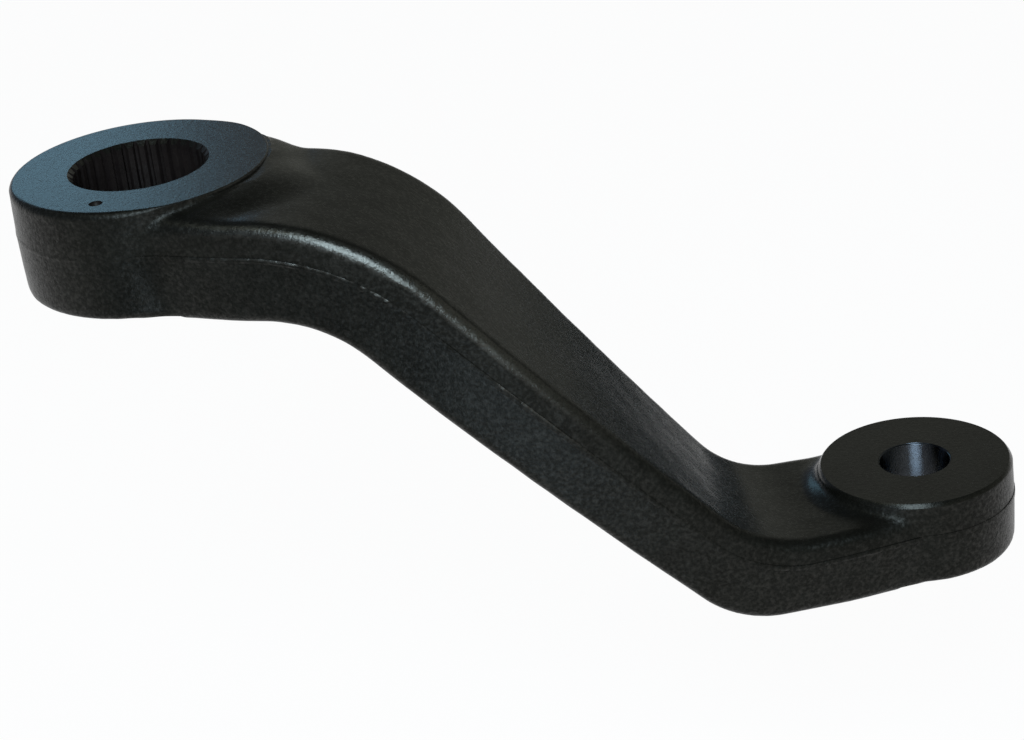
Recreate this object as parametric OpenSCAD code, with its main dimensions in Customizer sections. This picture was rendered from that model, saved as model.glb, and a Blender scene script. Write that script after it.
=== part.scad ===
// Forged drop pitman arm: a splined eye for the steering gear's sector shaft, a bowed web that
// steps down, and a tapered eye for the drag link's ball stud. One forging, in millimetres.
// The origin is the middle of the splined bore. +Z points up towards the steering gear, and the
// ball-stud eye lies at +X in plan.

/* [Splined eye] */
// Outside diameter of the splined eye at its top face
eye_d = 60; // [56:1:70]
// Height of the splined eye from face to face
eye_h = 26; // [23:0.5:32]
// Number of spline teeth
spline_count = 36; // [30:2:40]
// Bore diameter at the tooth tips
spline_tip_d = 30.6; // [26:0.1:31.5]
// Depth of the grooves between the teeth
spline_depth = 1; // [0.6:0.1:1.4]
// Share of the tooth pitch that a tooth tip fills
tip_share = 0.44; // [0.35:0.01:0.55]
// Chamfer at both mouths of the splined bore
spline_chamfer = 0.5; // [0.3:0.1:1.2]

/* [Ball-stud eye] */
// Outside diameter of the ball-stud eye at its top face
stud_eye_d = 45.5; // [42:0.5:52]
// Height of the ball-stud eye from face to face
stud_eye_h = 21; // [18:0.5:26]
// Small end of the tapered hole, at the top face
stud_hole_d = 16.4; // [12:0.1:20]
// Length of taper for each millimetre of diameter
stud_taper = 8; // [6:0.5:12]
// Chamfer at both mouths of the tapered hole
stud_chamfer = 0.3; // [0.2:0.1:1]

/* [Layout] */
// Distance between the two hole axes, seen from above
reach = 172; // [160:1:190]
// Drop from the top face of one eye to the top face of the other
drop = 88.5; // [75:0.5:100]
// Sideways bow of the web at mid length
bow = 17; // [8:0.5:22]

/* [Web] */
// Width of the web at its parting line, carried on to the splined eye's axis
neck_w = 52; // [46:0.5:54]
// Width of the web at its parting line, carried on to the ball-stud eye's axis
toe_w = 43; // [38:0.5:44]
// Depth of the web's top below the splined eye's top face
neck_step = 3.1; // [1:0.1:4]
// Depth of the web's top below the ball-stud eye's top face
toe_step = 3.7; // [1:0.1:4.5]
// Height by which the web's underside hangs below the faced undersides of the eyes
under_step = 1.3; // [0.6:0.1:2]
// Distance from the splined bore to the upper bend's corner, along the top
upper_bend = 59; // [56:0.5:64]
// Distance from the lower bend's corner to the stud hole, along the top
lower_bend = 41.5; // [40:0.5:45]
// Amount by which the sloping run is thinner than the ends it joins
slope_thin = 1.4; // [0:0.1:3]
// Bend radius of the upper bend, on top
crown_r = 51; // [40:1:56]
// Bend radius of the upper bend, underneath
throat_r = 28; // [20:1:32]
// Bend radius of the lower bend, on top
saddle_r = 26.5; // [18:0.5:28]
// Bend radius of the lower bend, underneath
heel_r = 22.5; // [16:0.5:30]
// Drop from the splined eye's top face to the web's top where the two meet
eye_lip = 0.4; // [0.2:0.1:1]
// Run over which the web's top falls away from the splined eye
eye_cove = 9; // [6:0.5:14]
// Drop from the ball-stud eye's top face to the web's top where the two meet
stud_lip = 1.2; // [0.6:0.1:2]
// Run over which the web's top falls away from the ball-stud eye
stud_cove = 6; // [4:0.5:10]
// Radius where the web's sides run into the eyes
flare_r = 20; // [12:1:26]
// Rounding of the web's upper edges
top_edge_r = 3; // [2:0.1:4.5]
// Rounding of the web's lower edges
under_edge_r = 2.7; // [1.5:0.1:4]

/* [Forging] */
// Draft of the web's sides, in degrees from the parting line
draft = 5; // [2:0.5:7]
// Draft of the eyes' sides, in degrees from the parting line
eye_draft = 1.5; // [0.5:0.5:3]
// Height of the parting line above the eyes' mid height
parting_rise = 1.8; // [0:0.2:3]
// Height of the trimmed flash ridge along the parting line
flash_h = 0.3; // [0.2:0.1:0.8]
// Width of the flash ridge at its foot
flash_w = 1.6; // [1.2:0.1:3]
// Bevel round the faced tops of both eyes
rim_break = 1; // [0.5:0.1:1.5]
// Rounding round the undersides of both eyes
under_break = 1.2; // [0.8:0.1:3]
// Margin of the facing cut round each eye's underside
facing_margin = 1.2; // [0.8:0.1:2]

/* [Punch mark] */
// Diameter of the punch mark on the splined eye's top face
punch_d = 3.2; // [1.5:0.1:4]
// Depth of the punch mark
punch_depth = 1.1; // [0.4:0.1:1.2]
// Distance of the punch mark from the bore axis
punch_r = 23.5; // [20:0.5:26]
// Direction of the punch mark from the bore axis, in degrees from +X
punch_angle = 258; // [0:1:359]

/* [Hidden] */
round_fn = 128;
// Steps of the web along one bend and its three straight runs, round one edge and across the top
bend_steps = 9;
neck_steps = 10;
slope_steps = 6;
toe_steps = 8;
edge_steps = 4;
top_steps = 8;
// Overrun of every cut past the face it opens
over = 1;

// Plan of the web: an arc of radius bow_r through both hole axes
bow_r = (reach * reach / 4 + bow * bow) / (2 * bow);
bow_half = asin(reach / 2 / bow_r);
run_length = bow_r * bow_half * PI / 90;

// Levels of the eyes' faces and of the web's top and underside
eye_top = eye_h / 2;
stud_top = eye_top - drop;
stud_mid = stud_top - stud_eye_h / 2;
neck_top = eye_top - neck_step;
toe_top = stud_top - toe_step;
neck_under = eye_top - eye_h - under_step;
toe_under = stud_top - stud_eye_h - under_step;

// Corners of the web's side view, as distances along the plan arc
top_corner = upper_bend;
top_corner_end = run_length - lower_bend;
slope = atan2(neck_top - toe_top, top_corner_end - top_corner);
thinning = slope_thin / sin(slope);
under_corner = top_corner - (neck_top - neck_under) * tan(slope / 2) + thinning;
under_corner_end = top_corner_end - (toe_top - toe_under) * tan(slope / 2) + thinning;

// The web starts and ends inside the eyes, at this share of their radius
root_share = 0.35;
web_start = eye_d / 2 * root_share;
web_end = run_length - stud_eye_d / 2 * root_share;

function mix(a, b, share) = a + (b - a) * share;

// A point at distance s along the plan arc, a sideways (towards +Y) and z high
function place(s, a, z) =
    let (turn = s / bow_r * 180 / PI - bow_half)
    [
        reach / 2 + (bow_r - a) * sin(turn),
        bow_r * cos(bow_half) - (bow_r - a) * cos(turn),
        z
    ];

// Side-view line of the web: level, bend of radius r1, slope, bend of radius r2, level
function rail(s1, z1, s2, z2, r1, r2) =
    let (
        fall = atan2(z1 - z2, s2 - s1),
        first = s1 - r1 * tan(fall / 2),
        last = s2 + r2 * tan(fall / 2),
        bend_1 = [for (i = [0:bend_steps])
            let (turn = fall * i / bend_steps)
            [first + r1 * sin(turn), z1 - r1 * (1 - cos(turn))]],
        bend_2 = [for (i = [0:bend_steps])
            let (turn = fall * (1 - i / bend_steps))
            [last - r2 * sin(turn), z2 + r2 * (1 - cos(turn))]]
    )
    concat(
        [for (i = [0:neck_steps - 1]) [mix(web_start, first, i / neck_steps), z1]],
        bend_1,
        [for (i = [1:slope_steps - 1]) mix(bend_1[bend_steps], bend_2[0], i / slope_steps)],
        bend_2,
        [for (i = [1:toe_steps]) [mix(last, web_end, i / toe_steps), z2]]
    );

top_rail = rail(top_corner, neck_top, top_corner_end, toe_top, crown_r, saddle_r);
under_rail = rail(under_corner, neck_under, under_corner_end, toe_under, throat_r, heel_r);

// Half width of the web where an eye of radius r lies d away: a straight side that runs into
// the eye through an arc of radius flare_r, or straight in where it is as wide as the eye
function flared(side, d, r) =
    let (
        arc_w = side + flare_r,
        arc_d = sqrt(max(0, pow(r + flare_r, 2) - pow(arc_w, 2))),
        touch_d = arc_d * r / (r + flare_r),
        touch_w = arc_w * r / (r + flare_r)
    )
    d >= arc_d ? side :
    d <= touch_d ? touch_w :
    arc_w - sqrt(pow(flare_r, 2) - pow(arc_d - d, 2));

// Half width of the web at distance s along the plan arc
function half_width(s) =
    let (side = mix(neck_w, toe_w, s / run_length) / 2)
    s < run_length / 2
        ? flared(side, s, eye_d / 2)
        : flared(side, run_length - s, stud_eye_d / 2);

// Height of a cove at distance d from an eye's rim: full at the rim, gone after the run
function cove(d, full, run) =
    let (t = min(1, max(0, d / run)))
    full * (1 - t * t * (3 - 2 * t));

// Height by which the web's top rises towards the eyes at a point that lies across of the half
// width off the middle; towards the ball-stud eye the rise fades out to both edges
function rise(point, across) =
    cove(norm([point[0], point[1]]) - eye_d / 2, neck_step - eye_lip, eye_cove)
    + cove(norm([point[0] - reach, point[1]]) - stud_eye_d / 2, toe_step - stud_lip, stud_cove)
    * (1 - across * across);

// A rounded corner of a section, turning from angle to angle + 90
function corner(a, b, r, angle) =
    [for (i = [0:edge_steps])
        let (turn = angle + 90 * i / edge_steps)
        [a + r * cos(turn), b + r * sin(turn)]];

// Section of the web: half width w at the parting line, half height h, parting line at height p
function section(w, h, p) =
    let (
        top_w = w - (h - p) * tan(draft) - top_edge_r,
        under_w = w - (h + p) * tan(draft) - under_edge_r,
        foot = flash_w / 2,
        foot_w = w - foot * tan(draft)
    )
    concat(
        [[w + flash_h, p], [foot_w, p + foot]],
        corner(top_w, h - top_edge_r, top_edge_r, 0),
        [for (i = [1:top_steps - 1]) [mix(top_w, -top_w, i / top_steps), h]],
        corner(-top_w, h - top_edge_r, top_edge_r, 90),
        [[-foot_w, p + foot], [-w - flash_h, p], [-foot_w, p - foot]],
        corner(-under_w, under_edge_r - h, under_edge_r, 180),
        corner(under_w, under_edge_r - h, under_edge_r, 270),
        [[foot_w, p - foot]]
    );

// Ring of points of the web at one station of the two rails; the parting line carries on from
// the eyes' and stays clear of the rounded upper edges
function ring(i) =
    let (
        top = top_rail[i],
        under = under_rail[i],
        middle = (top + under) / 2,
        half_w = half_width(middle[0]),
        half_h = norm(top - under) / 2,
        up = (top - under) / 2 / half_h,
        step = mix(neck_step, toe_step, middle[0] / run_length),
        highest = half_h - top_edge_r - 0.6 * flash_w,
        parting = min(highest, (step + under_step) / 2 + parting_rise)
    )
    [for (point = section(half_w, half_h, parting))
        let (
            spot = middle + up * point[1],
            base = place(spot[0], point[0], spot[1]),
            share = max(0, (point[1] - parting) / (half_h - parting)),
            across = min(1, abs(point[0]) / half_w)
        )
        base + [0, 0, share * rise(base, across)]];

// The forged web, lofted through its rings
module web() {
    rings = [for (i = [0:len(top_rail) - 1]) ring(i)];
    count = len(rings[0]);
    last = len(rings) - 1;
    sides = [for (i = [0:last - 1], j = [0:count - 1])
        let (k = (j + 1) % count)
        [i * count + j, (i + 1) * count + j, (i + 1) * count + k, i * count + k]];
    start_cap = [for (j = [0:count - 1]) j];
    end_cap = [for (j = [0:count - 1]) last * count + count - 1 - j];
    polyhedron(points = [for (r = rings, point = r) point], faces = concat(sides, [start_cap, end_cap]));
}

// A forged eye: a rounded underside, drafted sides with a flash ridge and a bevelled top
module eye(d, h) {
    foot = flash_w / 2;
    belly = d / 2 + (h / 2 - parting_rise) * tan(eye_draft);
    foot_r = belly - foot * tan(eye_draft);
    under_r = belly - (h / 2 + parting_rise) * tan(eye_draft);
    rotate_extrude($fn = round_fn)
        polygon(concat(
            [[0, -h / 2]],
            corner(under_r - under_break, under_break - h / 2, under_break, 270),
            [[foot_r, parting_rise - foot], [belly + flash_h, parting_rise], [foot_r, parting_rise + foot]],
            [[d / 2, h / 2 - rim_break], [d / 2 - rim_break, h / 2], [0, h / 2]]
        ));
}

// Cut that faces the underside of an eye out of the web
module facing(d, h) {
    cut_h = under_step + over;
    translate([0, 0, -h / 2 - cut_h])
        cylinder(d = d + 2 * facing_margin, h = cut_h, $fn = round_fn);
}

// Splined bore: tooth tips on one cylinder, with a groove between each two teeth
module splined_bore() {
    tip_r = spline_tip_d / 2;
    root_r = tip_r + spline_depth;
    pitch = 360 / spline_count;
    mouth_angle = pitch * (1 - tip_share) / 2;
    root_angle = mouth_angle / 3;
    inner_r = tip_r - spline_depth;
    cut_h = eye_h + 2 * over;
    translate([0, 0, -cut_h / 2])
        cylinder(r = tip_r, h = cut_h, $fn = round_fn);
    for (i = [0:spline_count - 1])
        rotate(pitch * (i + 0.5))
            translate([0, 0, -cut_h / 2])
                linear_extrude(cut_h)
                    polygon([
                        [inner_r, inner_r * sin(-mouth_angle)],
                        [tip_r * cos(mouth_angle), tip_r * sin(-mouth_angle)],
                        [root_r * cos(root_angle), root_r * sin(-root_angle)],
                        [root_r * cos(root_angle), root_r * sin(root_angle)],
                        [tip_r * cos(mouth_angle), tip_r * sin(mouth_angle)],
                        [inner_r, inner_r * sin(mouth_angle)]
                    ]);
    for (side = [0, 1])
        mirror([0, 0, side])
            translate([0, 0, eye_h / 2 - spline_chamfer])
                cylinder(r1 = tip_r, r2 = tip_r + spline_chamfer + over, h = spline_chamfer + over, $fn = round_fn);
}

// Tapered stud hole, small end up, with a chamfer at each mouth
module stud_hole() {
    top_r = stud_hole_d / 2;
    grow = 0.5 / stud_taper;
    under_r = top_r + stud_eye_h * grow;
    translate([0, 0, -stud_eye_h / 2 - over])
        cylinder(r1 = under_r + over * grow, r2 = top_r - over * grow, h = stud_eye_h + 2 * over, $fn = round_fn);
    translate([0, 0, stud_eye_h / 2 - stud_chamfer])
        cylinder(r1 = top_r, r2 = top_r + stud_chamfer + over, h = stud_chamfer + over, $fn = round_fn);
    translate([0, 0, -stud_eye_h / 2 - over])
        cylinder(r1 = under_r + stud_chamfer + over, r2 = under_r, h = stud_chamfer + over, $fn = round_fn);
}

// Round punch mark that shows which way the arm is indexed on its shaft
module punch_mark() {
    ball_r = (punch_d * punch_d / 4 + punch_depth * punch_depth) / (2 * punch_depth);
    rotate(punch_angle)
        translate([punch_r, 0, eye_top + ball_r - punch_depth])
            sphere(r = ball_r, $fn = 48);
}

module pitman_arm() {
    color([0.13, 0.14, 0.15])
        difference() {
            union() {
                web();
                eye(eye_d, eye_h);
                translate([reach, 0, stud_mid])
                    eye(stud_eye_d, stud_eye_h);
            }
            facing(eye_d, eye_h);
            splined_bore();
            punch_mark();
            translate([reach, 0, stud_mid]) {
                facing(stud_eye_d, stud_eye_h);
                stud_hole();
            }
        }
}

pitman_arm();
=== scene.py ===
# Forged drop pitman arm: the painted forging with its machined faces and bores, in a plain studio.
import math

import bmesh
import bpy
import numpy as np
from mathutils import Matrix, Vector, noise


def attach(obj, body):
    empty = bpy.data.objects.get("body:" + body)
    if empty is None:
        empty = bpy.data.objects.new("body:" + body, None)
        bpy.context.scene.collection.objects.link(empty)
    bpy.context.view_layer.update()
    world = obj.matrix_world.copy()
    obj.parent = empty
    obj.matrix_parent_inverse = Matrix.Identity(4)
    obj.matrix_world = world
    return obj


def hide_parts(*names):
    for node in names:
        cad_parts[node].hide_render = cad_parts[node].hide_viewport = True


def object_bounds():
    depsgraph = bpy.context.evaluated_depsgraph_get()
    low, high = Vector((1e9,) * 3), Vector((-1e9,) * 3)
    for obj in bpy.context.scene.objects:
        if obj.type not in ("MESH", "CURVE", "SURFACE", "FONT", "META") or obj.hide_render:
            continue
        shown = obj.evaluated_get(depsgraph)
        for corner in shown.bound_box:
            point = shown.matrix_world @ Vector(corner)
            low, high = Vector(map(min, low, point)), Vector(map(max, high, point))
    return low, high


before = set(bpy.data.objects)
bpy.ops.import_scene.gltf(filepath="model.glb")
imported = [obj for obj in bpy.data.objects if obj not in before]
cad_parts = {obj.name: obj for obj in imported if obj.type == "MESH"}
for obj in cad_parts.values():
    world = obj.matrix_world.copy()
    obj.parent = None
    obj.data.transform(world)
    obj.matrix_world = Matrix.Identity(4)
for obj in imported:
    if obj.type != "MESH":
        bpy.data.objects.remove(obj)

cad_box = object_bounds()

# Shapes are made in millimetres and end up in the frame's metres
MM = 0.001
QUARTER = math.pi / 2

# Splined eye
EYE_D = 60.0
EYE_H = 26.0
SPLINE_COUNT = 36
SPLINE_TIP_D = 30.6
SPLINE_DEPTH = 1.0
# Shares of a tooth's pitch at its tip, and of a groove's mouth at its root
TIP_SHARE = 0.44
ROOT_SHARE = 1 / 3

# Ball-stud eye
STUD_EYE_D = 45.5
STUD_EYE_H = 21.0
STUD_HOLE_D = 16.4
STUD_TAPER = 8.0
STUD_CHAMFER = 0.3

# Layout
REACH = 172.0
DROP = 88.5
BOW = 17.0

# Web
NECK_W = 52.0
TOE_W = 43.0
NECK_STEP = 3.1
TOE_STEP = 3.7
UNDER_STEP = 1.3
UPPER_BEND = 59.0
LOWER_BEND = 41.5
SLOPE_THIN = 1.4
CROWN_R = 51.0
THROAT_R = 28.0
SADDLE_R = 26.5
HEEL_R = 22.5
FLARE_R = 20.0
TOP_EDGE_R = 3.0
UNDER_EDGE_R = 2.7

# Coves from the web's top up to the eyes: height left below each face, and run
EYE_LIP = 0.4
EYE_COVE = 9.0
STUD_LIP = 2.2
STUD_COVE = 4.0
# On the near side the splined eye's cove is longer: from this y on, fully after this distance towards -Y
NEAR_COVE = 15.0
NEAR_START = 5.0
NEAR_BLEND = 15.0

# Forging
DRAFT = math.radians(5)
EYE_DRAFT = math.radians(1.5)
PARTING_RISE = 1.8
UNDER_BREAK = 1.2
# Stock that the forging carries above each face before it is machined
STOCK = 0.8
# The web starts and ends inside the eyes, at this share of their radius
WEB_INSIDE = 0.35
# Grid of the remeshed forging, and passes that even out the whole and the roots of the web
GRID = 0.72
EVEN_PASSES = 6
ROOT_PASSES = 14
# Roots of the web at the eyes: how far below the faces they stay, the height over which they fade,
# the distance of their middle from the rims, and their reach
EYE_ROOT_DROP = 3.5
STUD_ROOT_DROP = 1.5
ROOT_FADE = 2.0
ROOT_MIDDLE = 2.0
ROOT_REACH = 7.0
# Unevenness of the surface as (height, size) waves, and the depth that keeps it inside the part's box
WAVES = ((0.10, 14.0), (0.05, 5.0))
WAVE_SINK = 0.08

# Trimmed flash
FLASH_H = 0.3
FLASH_W = 1.6
# Its height left by the trimming, as a share with (share, size) waves, and the least share
FLASH_SHARE = 0.55
FLASH_WAVES = ((0.7, 17.0), (0.6, 1.6))
FLASH_LEAST = 0.1
# Half widths of its crest and its foot, and the room it keeps below the top edge, as shares of its width
FLASH_CREST = 0.08
FLASH_FOOT = 0.38
FLASH_ROOM = 0.6
# Share of its height that is left on each eye, and how deep it is sunk into the splined one's side
EYE_FLASH = 0.35
EYE_FLASH_SINK = 0.12
STUD_FLASH = 0.12

# Machining
SPLINE_MOUTH = 1.1
FACING_MARGIN = 1.2
# Rounded rim of the splined eye
EYE_RIM_WIDTH = 1.4
EYE_RIM_DEPTH = 2.2
# Step in that rim where the web's top runs in: width, and depth on the far and the near side
STEP_WIDTH = 0.25
STEP_FAR = 0.3
STEP_NEAR = 0.7
# Where the rounding comes in on either side and where the step deepens: (start, blend) in degrees from +X
ROUND_FAR = (45, 25)
ROUND_NEAR = (60, 30)
DEEPER_STEP = (10, 35)
# Bevel of the stud eye, and how straight it is between a rounding (0) and a flat (1)
BEVEL_WIDTH = 0.8
BEVEL_DEPTH = 1.2
BEVEL_FLAT = 0.75
RIM_STEPS = 6
# Cutters: reach past an eye's side, flat ring beside a rim, flare of the lower facing and lead into
# a bore's mouth
RIM_REACH = 0.05
FLAT_RING = 0.2
FACING_FLARE = 0.8
MOUTH_LEAD = 0.2
# Overrun of a cutter past the face it opens
OVER = 4.0

# Punch mark
PUNCH_D = 3.2
PUNCH_DEPTH = 1.6
PUNCH_R = 23.5
PUNCH_ANGLE = math.radians(258)

# Fineness of the meshes
BEND_STEPS = 40
FLASH_STEPS = 130
CORNER_STEPS = 10
ACROSS_STEPS = 40
TURNED_SIDES = 256
PUNCH_SIDES = 48
PUNCH_STEPS = 24
# Edges sharper than this shade as creases, and a face is level where its normal's Z is at least this
CREASE = math.radians(32)
LEVEL_FACE = 0.95

# Values worked out from the sizes
BOW_R = (REACH ** 2 / 4 + BOW ** 2) / (2 * BOW)
BOW_HALF = math.asin(REACH / 2 / BOW_R)
RUN_LENGTH = 2 * BOW_R * BOW_HALF
EYE_TOP = EYE_H / 2
STUD_TOP = EYE_TOP - DROP
STUD_MID = STUD_TOP - STUD_EYE_H / 2
NECK_TOP = EYE_TOP - NECK_STEP
TOE_TOP = STUD_TOP - TOE_STEP
NECK_UNDER = EYE_TOP - EYE_H - UNDER_STEP
TOE_UNDER = STUD_TOP - STUD_EYE_H - UNDER_STEP
EYE_AT = Vector((0, 0, 0))
STUD_AT = Vector((REACH, 0, STUD_MID))
WEB_START = EYE_D / 2 * WEB_INSIDE
WEB_END = RUN_LENGTH - STUD_EYE_D / 2 * WEB_INSIDE


def mix(a, b, share):
    return a + (b - a) * share


def smooth(t):
    """A soft step from 0 to 1."""
    t = min(1.0, max(0.0, t))
    return t * t * (3 - 2 * t)


# Trimmed flash

def flash_height(point):
    """Height of the flash at a point of the parting line: uneven along its run."""
    share = FLASH_SHARE
    for strength, size in FLASH_WAVES:
        share += strength * noise.noise(point / size)
    return FLASH_H * min(1.0, max(FLASH_LEAST, share))


def flash_outline(height):
    """Section of the flash: distance out of the forging's side, and height over the parting line."""
    root = -FLASH_W / 2
    crest = FLASH_CREST * FLASH_W
    foot = FLASH_FOOT * FLASH_W
    return [(root, -foot), (0, -foot), (height, -crest), (height, crest), (0, foot), (root, foot)]


# Web

def place(s, a, z):
    """The point at distance s along the plan arc, a sideways (towards +Y) and z high."""
    turn = s / BOW_R - BOW_HALF
    return (
        REACH / 2 + (BOW_R - a) * math.sin(turn),
        BOW_R * math.cos(BOW_HALF) - (BOW_R - a) * math.cos(turn),
        z,
    )


def rail(s1, z1, s2, z2, r1, r2, steps):
    """Side-view line of the web: level, bend of radius r1, slope, bend of radius r2, level."""
    fall = math.atan2(z1 - z2, s2 - s1)
    first = s1 - r1 * math.tan(fall / 2)
    last = s2 + r2 * math.tan(fall / 2)
    turns = [fall * i / steps for i in range(steps + 1)]
    bend_1 = [(first + r1 * math.sin(t), z1 - r1 * (1 - math.cos(t))) for t in turns]
    bend_2 = [(last - r2 * math.sin(t), z2 + r2 * (1 - math.cos(t))) for t in reversed(turns)]
    shares = [i / steps for i in range(steps)]
    line = [(mix(WEB_START, first, t), z1) for t in shares]
    line += bend_1
    line += [tuple(mix(a, b, t) for a, b in zip(bend_1[-1], bend_2[0])) for t in shares[1:]]
    line += bend_2
    line += [(mix(last, WEB_END, t), z2) for t in shares[1:] + [1.0]]
    return np.array(line)


def stations(steps):
    """Cross-sections along the web, with the given number of steps for each bend and straight run."""
    end = RUN_LENGTH - LOWER_BEND
    slope = math.atan2(NECK_TOP - TOE_TOP, end - UPPER_BEND)
    thinning = SLOPE_THIN / math.sin(slope)
    back = math.tan(slope / 2)
    under_start = UPPER_BEND - (NECK_TOP - NECK_UNDER) * back + thinning
    under_end = end - (TOE_TOP - TOE_UNDER) * back + thinning
    top = rail(UPPER_BEND, NECK_TOP, end, TOE_TOP, CROWN_R, SADDLE_R, steps)
    under = rail(under_start, NECK_UNDER, under_end, TOE_UNDER, THROAT_R, HEEL_R, steps)
    return [Station(*pair) for pair in zip(top, under)]


def flared(side, d, r):
    """Half width of the web where an eye of radius r lies d away."""
    arc_w = side + FLARE_R
    arc_d = math.sqrt(max(0.0, (r + FLARE_R) ** 2 - arc_w ** 2))
    if d >= arc_d:
        return side
    if d <= arc_d * r / (r + FLARE_R):
        return arc_w * r / (r + FLARE_R)
    return arc_w - math.sqrt(FLARE_R ** 2 - (arc_d - d) ** 2)


def half_width(s):
    side = mix(NECK_W, TOE_W, s / RUN_LENGTH) / 2
    if s < RUN_LENGTH / 2:
        return flared(side, s, EYE_D / 2)
    return flared(side, RUN_LENGTH - s, STUD_EYE_D / 2)


def cove(d, full, run):
    """Height of a cove at distance d from an eye's rim: full at the rim, gone after the run."""
    return full * (1 - smooth(d / run))


def rise(x, y, across):
    """Height by which the web's top rises towards the eyes at a plan point.

    The point lies the share across of the web's half width off its middle."""
    away = math.hypot(x, y) - EYE_D / 2
    near = smooth((NEAR_START - y) / NEAR_BLEND)
    at_eye = cove(away, NECK_STEP - EYE_LIP, mix(EYE_COVE, NEAR_COVE, near * (1 - across ** 2)))
    at_eye *= 1 - near * across ** 2
    at_stud = cove(math.hypot(x - REACH, y) - STUD_EYE_D / 2, TOE_STEP - STUD_LIP, STUD_COVE)
    return at_eye + at_stud * (1 - across ** 2)


def corner(a, b, r, angle):
    """A quarter arc of radius r round the point (a, b), from the given angle on."""
    turns = [angle + QUARTER * i / CORNER_STEPS for i in range(CORNER_STEPS + 1)]
    return [(a + r * math.cos(t), b + r * math.sin(t)) for t in turns]


def section(w, h, p):
    """Section of the web: half width w at the parting line, half height h, parting line at height p."""
    top_w = w - (h - p) * math.tan(DRAFT) - TOP_EDGE_R
    under_w = w - (h + p) * math.tan(DRAFT) - UNDER_EDGE_R
    points = [(w, p)]
    points += corner(top_w, h - TOP_EDGE_R, TOP_EDGE_R, 0)
    points += [(mix(top_w, -top_w, i / ACROSS_STEPS), h) for i in range(1, ACROSS_STEPS)]
    points += corner(-top_w, h - TOP_EDGE_R, TOP_EDGE_R, QUARTER)
    points += [(-w, p)]
    points += corner(-under_w, UNDER_EDGE_R - h, UNDER_EDGE_R, 2 * QUARTER)
    points += corner(under_w, UNDER_EDGE_R - h, UNDER_EDGE_R, 3 * QUARTER)
    return points


class Station:
    """One cross-section of the web between its two rails."""

    def __init__(self, top, under):
        self.middle = (top + under) / 2
        self.half_h = np.linalg.norm(top - under) / 2
        self.up = (top - under) / 2 / self.half_h
        self.half_w = half_width(self.middle[0])
        step = mix(NECK_STEP, TOE_STEP, self.middle[0] / RUN_LENGTH)
        highest = self.half_h - TOP_EDGE_R - FLASH_ROOM * FLASH_W
        self.parting = min((step + UNDER_STEP) / 2 + PARTING_RISE, highest)

    def at(self, a, b):
        """The point a sideways and b up from the middle of the section."""
        spot = self.middle + self.up * b
        return place(spot[0], a, spot[1])

    def ring(self):
        points = []
        for a, b in section(self.half_w, self.half_h, self.parting):
            x, y, z = self.at(a, b)
            share = max(0.0, (b - self.parting) / (self.half_h - self.parting))
            points.append((x, y, z + share * rise(x, y, abs(a) / self.half_w)))
        return points

    def flash(self, side):
        """Section of the trimmed flash on one side, rooted in the web."""
        height = flash_height(Vector(self.at(side * self.half_w, self.parting)))
        outline = flash_outline(height)
        return [self.at(side * (self.half_w + out), self.parting + b) for out, b in outline]


def lofted(name, rings, material=None):
    """A closed solid through rings of points."""
    count = len(rings[0])
    verts = [point for ring in rings for point in ring]
    faces = []
    for i in range(len(rings) - 1):
        for j in range(count):
            k = (j + 1) % count
            faces.append((i * count + j, (i + 1) * count + j, (i + 1) * count + k, i * count + k))
    faces.append(tuple(range(count)))
    faces.append(tuple(reversed(range(len(verts) - count, len(verts)))))
    return solid(name, verts, faces, material)


# Mesh helpers

def linked(name, data):
    """An object in the scene that holds the given mesh, light or camera."""
    piece = bpy.data.objects.new(name, data)
    bpy.context.scene.collection.objects.link(piece)
    return piece


def solid(name, verts, faces, material=None):
    """A closed mesh object with its faces turned outwards."""
    mesh = bpy.data.meshes.new(name)
    mesh.from_pydata(verts, [], faces)
    shape = bmesh.new()
    shape.from_mesh(mesh)
    bmesh.ops.recalc_face_normals(shape, faces=shape.faces)
    shape.to_mesh(mesh)
    shape.free()
    if material:
        mesh.materials.append(material)
    return linked(name, mesh)


def turned(name, profile, at, material=None, sides=TURNED_SIDES):
    """A solid turned about Z: profile(angle) gives (radius, height) points from pole to pole."""
    rings = [profile(2 * math.pi * i / sides) for i in range(sides)]
    count = len(rings[0]) - 2
    verts = [(0, 0, rings[0][0][1]), (0, 0, rings[0][-1][1])]
    for i, ring in enumerate(rings):
        turn = 2 * math.pi * i / sides
        verts += [(r * math.cos(turn), r * math.sin(turn), z) for r, z in ring[1:-1]]
    faces = []
    for i in range(sides):
        here = 2 + i * count
        there = 2 + (i + 1) % sides * count
        faces.append((0, here, there))
        faces += [(here + j, here + j + 1, there + j + 1, there + j) for j in range(count - 1)]
        faces.append((1, there + count - 1, here + count - 1))
    piece = solid(name, verts, faces, material)
    piece.data.transform(Matrix.Translation(at))
    return piece


def joined(name, pieces):
    """One object out of several, with their meshes as they lie."""
    shape = bmesh.new()
    for piece in pieces:
        shape.from_mesh(piece.data)
        bpy.data.objects.remove(piece)
    mesh = bpy.data.meshes.new(name)
    shape.to_mesh(mesh)
    shape.free()
    return linked(name, mesh)


def bake(piece):
    """Replaces a piece's mesh by what its modifiers make of it."""
    done = piece.evaluated_get(bpy.context.evaluated_depsgraph_get())
    mesh = bpy.data.meshes.new_from_object(done)
    piece.modifiers.clear()
    piece.data = mesh


def combine(piece, operation, others):
    """Adds other solids to a piece, or cuts them out of it."""
    for other in others:
        step = piece.modifiers.new(other.name, "BOOLEAN")
        step.operation = operation
        step.solver = "MANIFOLD"
        step.material_mode = "TRANSFER"
        step.object = other
    bake(piece)
    for other in others:
        bpy.data.objects.remove(other)


# Forging

def eye_belly(d, h):
    """Radius of a forged eye at its parting line."""
    return d / 2 + (h / 2 - PARTING_RISE) * math.tan(EYE_DRAFT)


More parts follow.
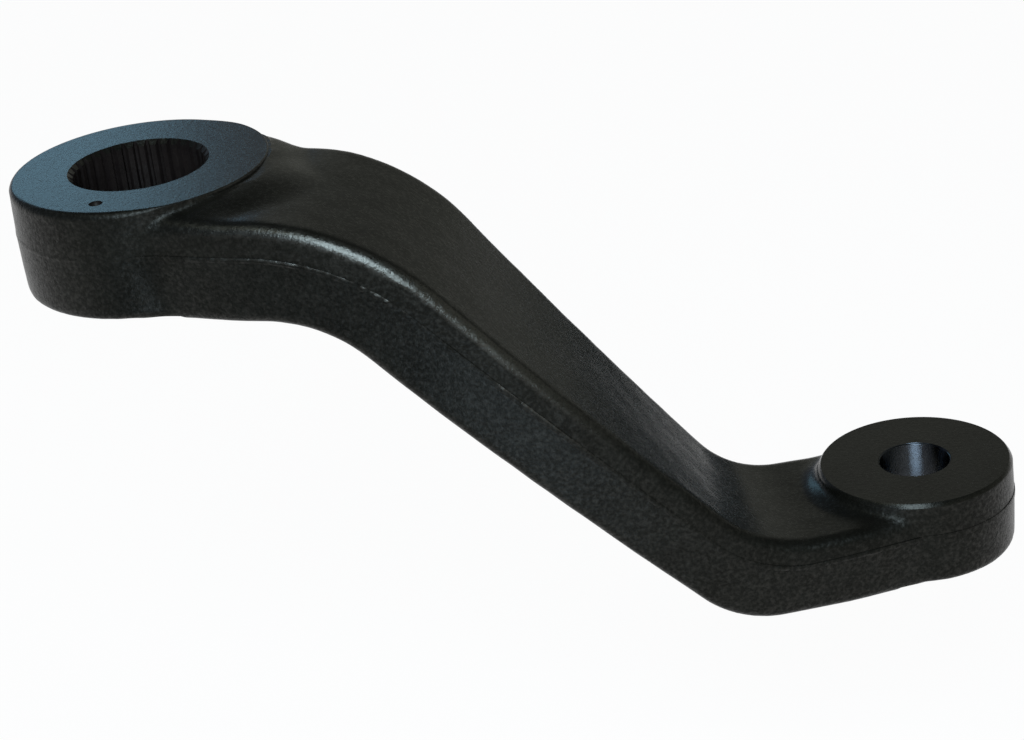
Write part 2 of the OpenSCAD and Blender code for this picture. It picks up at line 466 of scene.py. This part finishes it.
def eye_blank(name, d, h, at):
    """A forged eye with drafted sides, a rounded lower rim and stock on its top."""
    belly = eye_belly(d, h)
    top = h / 2 + STOCK
    top_r = d / 2 - STOCK * math.tan(EYE_DRAFT)
    under_r = belly - (h / 2 + PARTING_RISE) * math.tan(EYE_DRAFT)
    points = [(0, top), (top_r, top), (belly, PARTING_RISE)]
    points += reversed(corner(under_r - UNDER_BREAK, UNDER_BREAK - h / 2, UNDER_BREAK, -QUARTER))
    points += [(0, -h / 2)]
    return turned(name, lambda angle: points, at)


def eye_flash(name, d, h, at, left, sink, material):
    """The trimmed flash round a forged eye, lowered to the share left and sunk into the side."""
    belly = eye_belly(d, h)

    def profile(angle):
        spot = Vector((belly * math.cos(angle), belly * math.sin(angle), 0)) + Vector(at)
        outline = flash_outline(left * flash_height(spot))
        side = [(belly + out - sink, PARTING_RISE + b) for out, b in reversed(outline)]
        return [(0, side[0][1])] + side + [(0, side[-1][1])]

    return turned(name, profile, at, material)


def relax(points, edges, weight, passes, shrink=0.5, swell=-0.53):
    """Evens out a mesh. Each pass pulls points together, then lets them back so that the size is kept.

    With no swell they stay pulled together, which rounds the hollows."""
    a, b = edges[:, 0], edges[:, 1]
    count = len(points)
    links = np.bincount(a, minlength=count) + np.bincount(b, minlength=count)
    for _ in range(passes):
        for pull in (shrink, swell):
            mean = np.empty_like(points)
            for axis in range(3):
                total = np.bincount(a, points[b, axis], count) + np.bincount(b, points[a, axis], count)
                mean[:, axis] = total / links
            points = points + pull * weight[:, None] * (mean - points)
    return points


def near_roots(points):
    """Weights of the points where the web's sides and underside grow out of the eyes."""
    eyes = (
        (0.0, EYE_D / 2, EYE_TOP - EYE_ROOT_DROP),
        (REACH, STUD_EYE_D / 2, STUD_TOP - STUD_ROOT_DROP),
    )
    weight = np.zeros(len(points))
    for centre_x, r, top in eyes:
        away = np.hypot(points[:, 0] - centre_x, points[:, 1]) - r
        beside = np.clip(1 - np.abs(away - ROOT_MIDDLE) / ROOT_REACH, 0, 1)
        below = np.clip((top - points[:, 2]) / ROOT_FADE, 0, 1)
        weight = np.maximum(weight, beside * below)
    return weight


def waviness(points):
    """Height of the forging's gentle unevenness at each point."""
    height = np.empty(len(points))
    for i, point in enumerate(points):
        spot = Vector(point)
        height[i] = sum(wave * noise.noise(spot / size) for wave, size in WAVES)
    return height - WAVE_SINK


def forging(paint):
    """The raw forging: web and eyes grown together, with a slight unevenness and its trimmed flash."""
    blank = joined("forging", [
        lofted("web", [station.ring() for station in stations(BEND_STEPS)]),
        eye_blank("eye", EYE_D, EYE_H, EYE_AT),
        eye_blank("stud_eye", STUD_EYE_D, STUD_EYE_H, STUD_AT),
    ])
    remesh = blank.modifiers.new("remesh", "REMESH")
    remesh.mode = "VOXEL"
    remesh.voxel_size = GRID
    bake(blank)
    mesh = blank.data
    count = len(mesh.vertices)
    points = np.empty(count * 3)
    mesh.vertices.foreach_get("co", points)
    points = points.reshape(-1, 3)
    edges = np.empty(len(mesh.edges) * 2, int)
    mesh.edges.foreach_get("vertices", edges)
    edges = edges.reshape(-1, 2)
    points = relax(points, edges, np.ones(count), EVEN_PASSES)
    points = relax(points, edges, near_roots(points), ROOT_PASSES, swell=0.0)
    mesh.vertices.foreach_set("co", points.ravel())
    mesh.update()
    normals = np.empty(count * 3)
    mesh.vertices.foreach_get("normal", normals)
    points += normals.reshape(-1, 3) * waviness(points)[:, None]
    mesh.vertices.foreach_set("co", points.ravel())
    mesh.update()
    mesh.materials.append(paint)
    fine = stations(FLASH_STEPS)
    combine(blank, "UNION", [
        lofted("near_flash", [station.flash(-1) for station in fine], paint),
        lofted("far_flash", [station.flash(1) for station in fine], paint),
        eye_flash("eye_flash", EYE_D, EYE_H, EYE_AT, EYE_FLASH, EYE_FLASH_SINK, paint),
        eye_flash("stud_flash", STUD_EYE_D, STUD_EYE_H, STUD_AT, STUD_FLASH, 0.0, paint),
    ])
    return blank


# Machining

def faced(name, d, h, at, rim, flat, material):
    """Cutter that faces the top of an eye and breaks its rim.

    rim(angle) gives the break's width and depth. It is a rounding where flat is 0 and a bevel
    where it is 1."""
    r = d / 2 + RIM_REACH
    out = d / 2 + OVER

    def profile(angle):
        width, depth = rim(angle)
        edge = []
        for i in range(RIM_STEPS + 1):
            share = i / RIM_STEPS
            turn = QUARTER * share
            inward = mix(1 - math.sin(turn), 1 - share, flat)
            fall = mix(1 - math.cos(turn), share, flat)
            edge.append((r - width * inward, h / 2 - depth * fall))
        inner = (r - width - FLAT_RING, h / 2)
        outer = [(out, h / 2 - depth), (out, h / 2 + OVER), (0, h / 2 + OVER)]
        return [(0, h / 2), inner, *edge, *outer]

    return turned(name, profile, at, material)


def eye_rim(angle):
    """Rim of the splined eye: rounded on its free side, a small step where the web's top runs in."""
    turn = math.degrees(math.atan2(math.sin(angle), math.cos(angle)))
    far_start, far_blend = ROUND_FAR
    near_start, near_blend = ROUND_NEAR
    step_start, step_blend = DEEPER_STEP
    free = max(smooth((turn - far_start) / far_blend), smooth((-near_start - turn) / near_blend))
    step = mix(STEP_FAR, STEP_NEAR, smooth((step_start - turn) / step_blend))
    return mix(STEP_WIDTH, EYE_RIM_WIDTH, free), mix(step, EYE_RIM_DEPTH, free)


def stud_rim(angle):
    """Rim of the stud eye: the same bevel all round."""
    return BEVEL_WIDTH, BEVEL_DEPTH


def facing_under(name, d, h, at, material):
    """Cutter that faces the underside of an eye out of the web around it."""
    r = d / 2 + FACING_MARGIN
    points = [(0, -h / 2), (r, -h / 2), (r + FACING_FLARE, -h / 2 - OVER), (0, -h / 2 - OVER)]
    return turned(name, lambda angle: points, at, material)


def spline_cutter(material):
    """Cutter of the splined bore, with a groove between each two teeth."""
    tip_r = SPLINE_TIP_D / 2
    root_r = tip_r + SPLINE_DEPTH
    pitch = 2 * math.pi / SPLINE_COUNT
    mouth = pitch * (1 - TIP_SHARE) / 2
    root = mouth * ROOT_SHARE
    land = pitch * TIP_SHARE / 2
    turns = [
        (-mouth - land, tip_r), (-mouth - land / 2, tip_r), (-mouth, tip_r), (-root, root_r),
        (root, root_r), (mouth, tip_r), (mouth + land / 2, tip_r),
    ]
    outline = []
    for i in range(SPLINE_COUNT):
        groove = pitch * (i + 0.5)
        outline += [(r * math.cos(groove + t), r * math.sin(groove + t)) for t, r in turns]
    half = EYE_H / 2 + OVER
    count = len(outline)
    verts = [(x, y, half) for x, y in outline] + [(x, y, -half) for x, y in outline]
    faces = [(j, (j + 1) % count, count + (j + 1) % count, count + j) for j in range(count)]
    faces += [tuple(range(count)), tuple(range(count, 2 * count))]
    return solid("spline_cutter", verts, faces, material)


def spline_mouth(name, side, material):
    """Chamfer cutter at one mouth of the splined bore: the upper one for side 1, the lower one for -1."""
    tip_r = SPLINE_TIP_D / 2
    low = EYE_H / 2 - SPLINE_MOUTH - MOUTH_LEAD
    high = EYE_H / 2 + OVER
    points = [(0, low), (tip_r - MOUTH_LEAD, low), (tip_r + SPLINE_MOUTH + OVER, high), (0, high)]
    return turned(name, lambda angle: [(r, side * z) for r, z in points], EYE_AT, material)


def stud_hole(material):
    """Cutter of the tapered stud hole, small end up, with a chamfer at each mouth."""
    top_r = STUD_HOLE_D / 2
    grow = 0.5 / STUD_TAPER
    half = STUD_EYE_H / 2
    under_r = top_r + STUD_EYE_H * grow
    wider = STUD_CHAMFER + OVER
    points = [
        (0, half + OVER),
        (top_r + wider, half + OVER),
        (top_r + STUD_CHAMFER * grow, half - STUD_CHAMFER),
        (under_r - STUD_CHAMFER * grow, STUD_CHAMFER - half),
        (under_r + wider, -half - OVER),
        (0, -half - OVER),
    ]
    return turned("stud_hole_cutter", lambda angle: points, STUD_AT, material)


def punch_cutter(material):
    """Cutter of the round punch mark on the splined eye's top face."""
    ball_r = (PUNCH_D ** 2 / 4 + PUNCH_DEPTH ** 2) / (2 * PUNCH_DEPTH)
    turns = [math.pi * i / PUNCH_STEPS for i in range(PUNCH_STEPS + 1)]
    points = [(ball_r * math.sin(t), ball_r * math.cos(t)) for t in turns]
    high = EYE_TOP + ball_r - PUNCH_DEPTH
    at = (PUNCH_R * math.cos(PUNCH_ANGLE), PUNCH_R * math.sin(PUNCH_ANGLE), high)
    return turned("punch_cutter", lambda angle: points, at, material, PUNCH_SIDES)


def machined(piece, paint, dark, steel):
    """Cuts the faces, bores and punch mark into the forging."""
    combine(piece, "DIFFERENCE", [
        faced("eye_top_cutter", EYE_D, EYE_H, EYE_AT, eye_rim, 0.0, paint),
        faced("stud_top_cutter", STUD_EYE_D, STUD_EYE_H, STUD_AT, stud_rim, BEVEL_FLAT, paint),
        facing_under("eye_under_cutter", EYE_D, EYE_H, EYE_AT, paint),
        facing_under("stud_under_cutter", STUD_EYE_D, STUD_EYE_H, STUD_AT, paint),
        spline_cutter(dark),
        spline_mouth("upper_mouth_cutter", 1, paint),
        spline_mouth("lower_mouth_cutter", -1, paint),
        stud_hole(steel),
        punch_cutter(dark),
    ])


def roughen_rims(piece, forged, smooth_paint):
    """Gives the splined eye's rims and chamfers the forged paint, so that only level faces look smooth."""
    materials = piece.data.materials
    rough = materials.find(forged.name)
    even = materials.find(smooth_paint.name)
    for face in piece.data.polygons:
        rim = abs(face.normal.z) < LEVEL_FACE
        if face.material_index == even and rim and face.center.x < REACH / 2:
            face.material_index = rough


# Materials

# Sizes of the patches of colour and of the specks of gloss, in metres
PATCH = 9 * MM
SPECK = 0.9 * MM
# Detail of the patches, and how strongly the finer layers of any grain show
PATCH_DETAIL = 5.0
FINE_LAYERS = 0.6
# Where a colour ramp starts and stops
RAMP_ENDS = (0.35, 0.65)
# Radians that the wave node turns per unit
WAVE_TURN = 20
# Slight warmth of what the surfaces mirror
MIRROR_TINT = (1.0, 0.96, 0.86, 1)
# Masks of the forged paint, each as a (start, stop) of the object's own normal or place
LEVEL_Y = (0.2, 0.5)
TILTED_Y = (0.3, 0.5)
TOP_Z = (0.45, 0.7)
EDGE_Z = (0.12, 0.3)
CROWN_START = (12 * MM, 50 * MM)
CROWN_STOP = (80 * MM, 108 * MM)


def grain(tree, where, size, detail=3.0):
    """Noise with features of about the given size in metres."""
    texture = tree.nodes.new("ShaderNodeTexNoise")
    texture.inputs["Scale"].default_value = 1 / size
    texture.inputs["Detail"].default_value = detail
    texture.inputs["Roughness"].default_value = FINE_LAYERS
    tree.links.new(where, texture.inputs["Vector"])
    return texture.outputs["Fac"]


def spread(tree, value, low, high, start=0.3, stop=0.7):
    """A value stretched to run from low to high while it goes from start to stop."""
    stretch = tree.nodes.new("ShaderNodeMapRange")
    stretch.inputs["From Min"].default_value = start
    stretch.inputs["From Max"].default_value = stop
    stretch.inputs["To Min"].default_value = low
    stretch.inputs["To Max"].default_value = high
    tree.links.new(value, stretch.inputs["Value"])
    return stretch.outputs["Result"]


def ramp(tree, value, dark, light):
    """A colour between two, by a value that runs about the middle of 0 to 1."""
    colours = tree.nodes.new("ShaderNodeValToRGB")
    first, last = colours.color_ramp.elements
    first.position, last.position = RAMP_ENDS
    first.color = (*dark, 1)
    last.color = (*light, 1)
    tree.links.new(value, colours.inputs["Fac"])
    return colours.outputs["Color"]


def dented(tree, height, depth, strength=None, below=None):
    """A bumped normal, on top of another one if given; depth is in metres."""
    bump = tree.nodes.new("ShaderNodeBump")
    bump.inputs["Distance"].default_value = depth
    bump.inputs["Strength"].default_value = 1.0
    if strength:
        tree.links.new(strength, bump.inputs["Strength"])
    tree.links.new(height, bump.inputs["Height"])
    if below:
        tree.links.new(below, bump.inputs["Normal"])
    return bump.outputs["Normal"]


def worked_out(tree, operation, *values):
    """The outcome of a Math node for one or two values."""
    node = tree.nodes.new("ShaderNodeMath")
    node.operation = operation
    for value, socket in zip(values, node.inputs):
        tree.links.new(value, socket)
    return node.outputs["Value"]


def lifted(tree, value, mask, amount):
    """A value plus an amount where a mask is 1."""
    return worked_out(tree, "ADD", value, spread(tree, mask, 0.0, amount, 0.0, 1.0))


def axes(tree, vector):
    """The X, Y and Z of a vector."""
    node = tree.nodes.new("ShaderNodeSeparateXYZ")
    tree.links.new(vector, node.inputs["Vector"])
    return node.outputs["X"], node.outputs["Y"], node.outputs["Z"]


def zones(tree, where, normal):
    """Two masks from the object's own normals: the web's even top, and the rounded edges beside it.

    The edges count over the crown, where the paint is glossy, and not at the eyes, where it is dull."""
    _, y, z = axes(tree, normal)
    sideways = worked_out(tree, "ABSOLUTE", y)
    level = spread(tree, sideways, 1.0, 0.0, *LEVEL_Y)
    tilted = spread(tree, sideways, 0.0, 1.0, *TILTED_Y)
    top = worked_out(tree, "MULTIPLY", spread(tree, z, 0.0, 1.0, *TOP_Z), level)
    edge = worked_out(tree, "MULTIPLY", spread(tree, z, 0.0, 1.0, *EDGE_Z), tilted)
    along, _, _ = axes(tree, where)
    begun = spread(tree, along, 0.0, 1.0, *CROWN_START)
    left = spread(tree, along, 1.0, 0.0, *CROWN_STOP)
    crown = worked_out(tree, "MULTIPLY", begun, left)
    return top, worked_out(tree, "MULTIPLY", edge, crown)


def turning_marks(tree, where, pitch):
    """Bands across Z with the given pitch in metres, which lie as rings in a bore."""
    marks = tree.nodes.new("ShaderNodeTexWave")
    marks.bands_direction = "Z"
    marks.inputs["Scale"].default_value = 2 * math.pi / (WAVE_TURN * pitch)
    tree.links.new(where, marks.inputs["Vector"])
    return marks.outputs["Fac"]


def surface(name, dark, light, gloss, shine, dents, metal=0.0, forged=None, rings=None):
    """A surface with patchy colour, uneven gloss and fine dents.

    Gloss (roughness) and shine (specular level) are each given as spread takes them: low, high and, if
    need be, start and stop. Dents are (size, depth) pairs in millimetres, and rings are turning marks of
    a (pitch, depth). A forged surface has only the share calm of its dents on the web's top, and amounts
    by which gloss and shine change there and on the edges over the crown."""
    material = bpy.data.materials.new(name)
    material.use_nodes = True
    tree = material.node_tree
    shader = tree.nodes["Principled BSDF"]
    shader.inputs["Metallic"].default_value = metal
    shader.inputs["Specular Tint"].default_value = MIRROR_TINT
    coords = tree.nodes.new("ShaderNodeTexCoord")
    where = coords.outputs["Object"]
    specks = grain(tree, where, SPECK)
    roughness = spread(tree, specks, *gloss)
    level = spread(tree, specks, *shine)
    strength = None
    if forged:
        top, edge = zones(tree, where, coords.outputs["Normal"])
        roughness = lifted(tree, roughness, top, forged["top_gloss"])
        level = lifted(tree, level, edge, forged["edge_shine"])
        level = lifted(tree, level, top, forged["top_shine"])
        strength = spread(tree, top, 1.0, forged["calm"], 0.0, 1.0)
    normal = None
    for size, depth in dents:
        normal = dented(tree, grain(tree, where, size * MM), depth * MM, strength, normal)
    if rings:
        pitch, depth = rings
        normal = dented(tree, turning_marks(tree, where, pitch * MM), depth * MM, strength, normal)
    patches = grain(tree, where, PATCH, PATCH_DETAIL)
    tree.links.new(ramp(tree, patches, dark, light), shader.inputs["Base Color"])
    tree.links.new(roughness, shader.inputs["Roughness"])
    tree.links.new(level, shader.inputs["Specular IOR Level"])
    tree.links.new(normal, shader.inputs["Normal"])
    return material


forged_paint = surface(
    "forged_paint",
    dark=(0.0042, 0.0039, 0.0030),
    light=(0.0068, 0.0063, 0.0050),
    gloss=(0.24, 0.36),
    shine=(0.08, 0.27, 0.45, 0.72),
    dents=((1.0, 0.14), (0.45, 0.06)),
    forged={"calm": 0.2, "top_gloss": -0.05, "top_shine": 0.06, "edge_shine": 0.72},
)
faced_paint = surface(
    "faced_paint",
    dark=(0.0035, 0.0032, 0.0024),
    light=(0.006, 0.0055, 0.0042),
    gloss=(0.20, 0.30),
    shine=(0.13, 0.27),
    dents=((0.9, 0.035), (0.4, 0.022)),
)
dark_scale = surface(
    "dark_scale",
    dark=(0.005, 0.0036, 0.0034),
    light=(0.011, 0.0080, 0.0072),
    gloss=(0.36, 0.5),
    shine=(0.06, 0.14),
    dents=((0.8, 0.03), (0.3, 0.015)),
)
bore_steel = surface(
    "bore_steel",
    dark=(0.045, 0.052, 0.062),
    light=(0.062, 0.070, 0.082),
    gloss=(0.12, 0.20),
    shine=(0.45, 0.55),
    dents=((0.8, 0.01), (0.3, 0.005)),
    metal=1.0,
    rings=(0.3, 0.065),
)

arm = forging(forged_paint)
machined(arm, faced_paint, dark_scale, bore_steel)
roughen_rims(arm, forged_paint, faced_paint)
arm.name = "painted_arm"
arm.data.transform(Matrix.Scale(MM, 4))
arm.data.shade_smooth()
arm.data.set_sharp_from_angle(angle=CREASE)
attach(arm, "root")
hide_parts("pitman_arm")

# Studio, in metres

FLOOR_HALF = 8.0
FLOOR_Z = cad_box[0][2] - 60 * MM
FLOOR_PALE = (0.9, 0.9, 0.9, 1)
# Share of the floor's look that is plain white, with the object's soft shadow in the rest
FLOOR_WHITE = 0.96


def floor_white():
    """White for the camera and in reflections; a pale floor that takes light and shadow otherwise."""
    material = bpy.data.materials.new("floor_white")
    material.use_nodes = True
    tree = material.node_tree
    tree.nodes.remove(tree.nodes["Principled BSDF"])
    pale = tree.nodes.new("ShaderNodeBsdfDiffuse")
    pale.inputs["Color"].default_value = FLOOR_PALE
    white = tree.nodes.new("ShaderNodeEmission")
    white.inputs["Color"].default_value = (1, 1, 1, 1)
    white.inputs["Strength"].default_value = 1.0
    path = tree.nodes.new("ShaderNodeLightPath")
    seen = path.outputs["Is Camera Ray"]
    for kind in ("Is Glossy Ray", "Is Transmission Ray"):
        seen = worked_out(tree, "MAXIMUM", seen, path.outputs[kind])
    share = tree.nodes.new("ShaderNodeMath")
    share.operation = "MULTIPLY"
    share.inputs[1].default_value = FLOOR_WHITE
    tree.links.new(seen, share.inputs[0])
    blend = tree.nodes.new("ShaderNodeMixShader")
    tree.links.new(share.outputs["Value"], blend.inputs["Fac"])
    tree.links.new(pale.outputs["BSDF"], blend.inputs[1])
    tree.links.new(white.outputs["Emission"], blend.inputs[2])
    tree.links.new(blend.outputs["Shader"], tree.nodes["Material Output"].inputs["Surface"])
    return material


def sheet(name, corners, material):
    """A flat sheet with four corners."""
    mesh = bpy.data.meshes.new(name)
    mesh.from_pydata(corners, [], [(0, 1, 2, 3)])
    mesh.materials.append(material)
    return linked(name, mesh)


signs = ((-1, -1), (1, -1), (1, 1), (-1, 1))
floor_corners = [(x * FLOOR_HALF, y * FLOOR_HALF, FLOOR_Z) for x, y in signs]
floor = sheet("floor", floor_corners, floor_white())

# World: it goes from cool to warm between these X of the view and dims to a share between these Z
WORLD_COOL = (0.18, 0.21, 0.26)
WORLD_WARM = (0.33, 0.34, 0.305)
WARM_X = (-0.26, -0.10)
OVERHEAD_Z = (0.45, 0.75)
OVERHEAD_SHARE = 0.2

world = bpy.data.worlds.new("studio")
bpy.context.scene.world = world
world.use_nodes = True
sky = world.node_tree
background = sky.nodes["Background"]
to_x, _, to_z = axes(sky, sky.nodes.new("ShaderNodeTexCoord").outputs["Generated"])
warmth = spread(sky, to_x, 0.0, 1.0, *WARM_X)
sky.links.new(ramp(sky, warmth, WORLD_COOL, WORLD_WARM), background.inputs["Color"])
sky.links.new(spread(sky, to_z, 1.0, OVERHEAD_SHARE, *OVERHEAD_Z), background.inputs["Strength"])


def lamp(name, at, aim, size, watts, colour):
    """A rectangular lamp, not seen by the camera."""
    light = bpy.data.lights.new(name, "AREA")
    light.shape = "RECTANGLE"
    light.size, light.size_y = size
    light.energy = watts
    light.color = colour
    piece = linked(name, light)
    piece.location = at
    piece.rotation_euler = (Vector(aim) - Vector(at)).to_track_quat("-Z", "Y").to_euler()
    piece.visible_camera = False


# A tall panel behind and above the camera
lamp(
    "key", at=(0.085, -0.841, 0.574), aim=(0.085, -0.03, 0), size=(0.46, 0.75),
    watts=13.6, colour=(0.66, 0.85, 1.0),
)
# A dim strip high on the left
lamp(
    "ceiling", at=(-0.324, -0.456, 0.819), aim=(0.03, -0.03, 0), size=(0.56, 0.28),
    watts=0.8, colour=(0.93, 1.0, 0.86),
)
# A blue panel low behind the splined eye, which its face mirrors
lamp(
    "sky_panel", at=(-0.445, 0.89, 0.35), aim=(0, 0, 0), size=(0.43, 0.18),
    watts=0.57, colour=(0.36, 0.74, 1.0),
)
# A small blue panel low in front, which the slope's side mirrors
lamp(
    "low_panel", at=(0.045, -0.235, -0.15), aim=(0.045, -0.2, 0), size=(0.11, 0.08),
    watts=0.14, colour=(0.5, 0.74, 1.0),
)

# Cards that the arm mirrors in place of the white floor: one stands on the right for the web's slope, and
# one lies in front for the side under the crown
SIDE_NEAR = (0.2, 0.06)
SIDE_FAR = (0.32, 1.6)
SIDE_TOP = -0.03
SIDE_GREY = 0.2
FRONT_OUTLINE = ((-0.36, -0.70), (-0.12, -0.74), (0.01, -0.16), (-0.13, -0.16))
FRONT_LIFT = 0.002
FRONT_GREY = 0.06
# Blue in the cards' greys, as a share of their red and green, and their roughness
CARD_BLUE = 0.95
CARD_ROUGHNESS = 0.9


def card(name, corners, grey):
    """A grey card that shows in reflections only."""
    material = bpy.data.materials.new(name)
    material.use_nodes = True
    shader = material.node_tree.nodes["Principled BSDF"]
    shader.inputs["Base Color"].default_value = (grey, grey, CARD_BLUE * grey, 1)
    shader.inputs["Roughness"].default_value = CARD_ROUGHNESS
    piece = sheet(name, corners, material)
    piece.visible_camera = False
    piece.visible_diffuse = False
    piece.visible_shadow = False


side_low = [(*SIDE_NEAR, FLOOR_Z), (*SIDE_FAR, FLOOR_Z)]
side_high = [(*SIDE_FAR, SIDE_TOP), (*SIDE_NEAR, SIDE_TOP)]
card("side_card", side_low + side_high, SIDE_GREY)
card("front_card", [(x, y, FLOOR_Z + FRONT_LIFT) for x, y in FRONT_OUTLINE], FRONT_GREY)

# Camera, solved from the photo
FOCAL_PX = 2704.9
IMAGE_W = 1024
SENSOR_W = 36.0
NEAREST = 0.01
VIEW_YAW = math.radians(-7.742)
VIEW_PITCH = math.radians(24.986)
VIEW_ROLL = math.radians(-7.137)
VIEW_FROM = Vector((157.33, -569.96, 222.70)) * MM

forward = Vector((
    math.sin(VIEW_YAW) * math.cos(VIEW_PITCH),
    math.cos(VIEW_YAW) * math.cos(VIEW_PITCH),
    -math.sin(VIEW_PITCH),
))
level = Vector((math.cos(VIEW_YAW), -math.sin(VIEW_YAW), 0))
down = forward.cross(level)
right = level * math.cos(VIEW_ROLL) - down * math.sin(VIEW_ROLL)
up = -(level * math.sin(VIEW_ROLL) + down * math.cos(VIEW_ROLL))
camera_data = bpy.data.cameras.new("camera")
camera_data.sensor_width = SENSOR_W
camera_data.lens = FOCAL_PX / IMAGE_W * SENSOR_W
camera_data.clip_start = NEAREST
camera = linked("camera", camera_data)
turn = Matrix((right, up, -forward)).transposed()
camera.matrix_world = Matrix.Translation(VIEW_FROM) @ turn.to_4x4()
bpy.context.scene.camera = camera
bpy.context.scene.view_settings.view_transform = "Standard"
